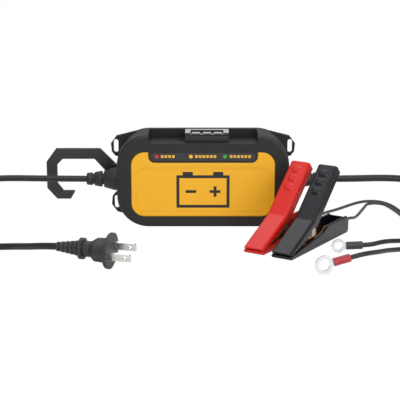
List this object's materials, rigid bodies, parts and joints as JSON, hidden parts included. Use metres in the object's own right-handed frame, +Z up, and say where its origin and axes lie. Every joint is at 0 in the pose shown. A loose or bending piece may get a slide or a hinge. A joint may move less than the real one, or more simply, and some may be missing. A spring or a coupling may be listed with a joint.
{
  "type": "car battery charger",
  "caption": "Small plug-in charger for car batteries: moulded housing with hanging hook, cord and plug, spring clamps and ring terminal leads.",
  "frame": {"origin": "centre of the housing's flat bottom edge, on which it stands", "axes": "+X along the housing towards the low-voltage cord, +Y to its back, +Z up"},
  "size_m": [0.5142, 0.2344, 0.0744],
  "materials": {
    "housing_abs": "satin moulded ABS",
    "hook_nylon": "satin moulded nylon",
    "slide_abs": "satin moulded ABS",
    "yellow_panel": "satin moulded yellow ABS",
    "overlay_film": "glossy film",
    "red_lens": "clear moulded",
    "amber_lens": "clear moulded",
    "green_lens": "clear moulded",
    "gasket_rubber": "soft foam cord",
    "relief_pvc": "soft moulded PVC",
    "zinc_steel": "zinc plated",
    "board_laminate": "solder mask on laminate",
    "ferrite_core": "sintered ferrite",
    "winding_copper": "taped copper winding",
    "can_sleeve": "shrunk sleeve",
    "sink_aluminium": "extruded",
    "fuse_glass": "clear tube",
    "led_epoxy": "diffused epoxy",
    "switch_plastic": "moulded",
    "lead_pvc": "PVC insulation",
    "cord_pvc": "PVC jacket",
    "tie_nylon": "coated strap",
    "plug_pvc": "moulded PVC",
    "nickel_brass": "nickel plated",
    "connector_pvc": "moulded PVC",
    "clamp_lead_pvc": "PVC insulation",
    "ring_lead_pvc": "PVC insulation",
    "red_grip": "satin moulded vinyl",
    "black_grip": "satin moulded vinyl",
    "coppered_steel": "copper plated steel",
    "rivet_steel": "plated",
    "tinned_copper": "tinned",
    "red_sleeve": "vinyl",
    "black_sleeve": "vinyl"
  },
  "bodies": {
    "charger": {"front_shell": "housing_abs", "rear_shell": "housing_abs", "face_panel": "yellow_panel", "indicator_overlay": "overlay_film", "lens_fault": "red_lens", "lens_charge": "amber_lens", "lens_full": "green_lens", "shell_gasket": "gasket_rubber", "ac_strain_relief": "relief_pvc", "dc_strain_relief": "relief_pvc", "hook_pin": "zinc_steel", "housing_screws": "zinc_steel", "board_screws": "zinc_steel", "circuit_board": "board_laminate", "transformer_core": "ferrite_core", "transformer_winding": "winding_copper", "capacitors": "can_sleeve", "heat_sink": "sink_aluminium", "board_fuse": "fuse_glass", "board_leds": "led_epoxy", "selector_switch": "switch_plastic", "internal_leads": "lead_pvc", "ac_cord_lead": "cord_pvc", "ac_cord_coil": "cord_pvc", "ac_cord_tail": "cord_pvc", "dc_cord_lead": "cord_pvc", "dc_cord_coil": "cord_pvc", "dc_cord_tail": "cord_pvc", "ac_cord_tie": "tie_nylon", "dc_cord_tie": "tie_nylon", "plug_body": "plug_pvc", "plug_blades": "nickel_brass", "charger_connector": "connector_pvc", "clamp_connector": "connector_pvc", "ring_connector": "connector_pvc", "connector_cap": "connector_pvc", "fuse_holder": "connector_pvc", "clamp_lead_red": "clamp_lead_pvc", "clamp_lead_black": "clamp_lead_pvc", "ring_lead_red": "ring_lead_pvc", "ring_lead_black": "ring_lead_pvc", "red_lower_cover": "red_grip", "black_lower_cover": "black_grip", "red_lower_jaw": "coppered_steel", "black_lower_jaw": "coppered_steel", "red_pivot_pin": "rivet_steel", "black_pivot_pin": "rivet_steel", "red_spring": "rivet_steel", "black_spring": "rivet_steel", "ring_terminal_large": "tinned_copper", "ring_terminal_small": "tinned_copper", "ring_sleeve_red": "red_sleeve", "ring_sleeve_black": "black_sleeve"},
    "hook": {"hook": "hook_nylon"},
    "selector": {"selector_slide": "slide_abs"},
    "red_lever": {"red_upper_cover": "red_grip", "red_upper_jaw": "coppered_steel"},
    "black_lever": {"black_upper_cover": "black_grip", "black_upper_jaw": "coppered_steel"}
  },
  "joints": [
    {"name": "hook_pivot", "type": "hinge", "parent": "charger", "child": "hook", "pos_m": [-0.072, 0.0162, 0.0365], "axis": [0, 1, 0], "range_deg": [0, 180]},
    {"name": "selector_travel", "type": "slide", "parent": "charger", "child": "selector", "axis": [1, 0, 0], "range_m": [-0.008, 0]},
    {"name": "red_clamp_pivot", "type": "hinge", "parent": "charger", "child": "red_lever", "pos_m": [0.05617, -0.06313, 0.013], "axis": [-0.8434, 0.5373, 0], "range_deg": [0, 35], "stiffness_Nm_per_rad": 0.3, "springref_deg": -28.65, "deforming": ["red_spring"]},
    {"name": "black_clamp_pivot", "type": "hinge", "parent": "charger", "child": "black_lever", "pos_m": [0.07587, -0.07633, 0.013], "axis": [-0.8434, 0.5373, 0], "range_deg": [0, 35], "stiffness_Nm_per_rad": 0.3, "springref_deg": -28.65, "deforming": ["black_spring"]}
  ]
}
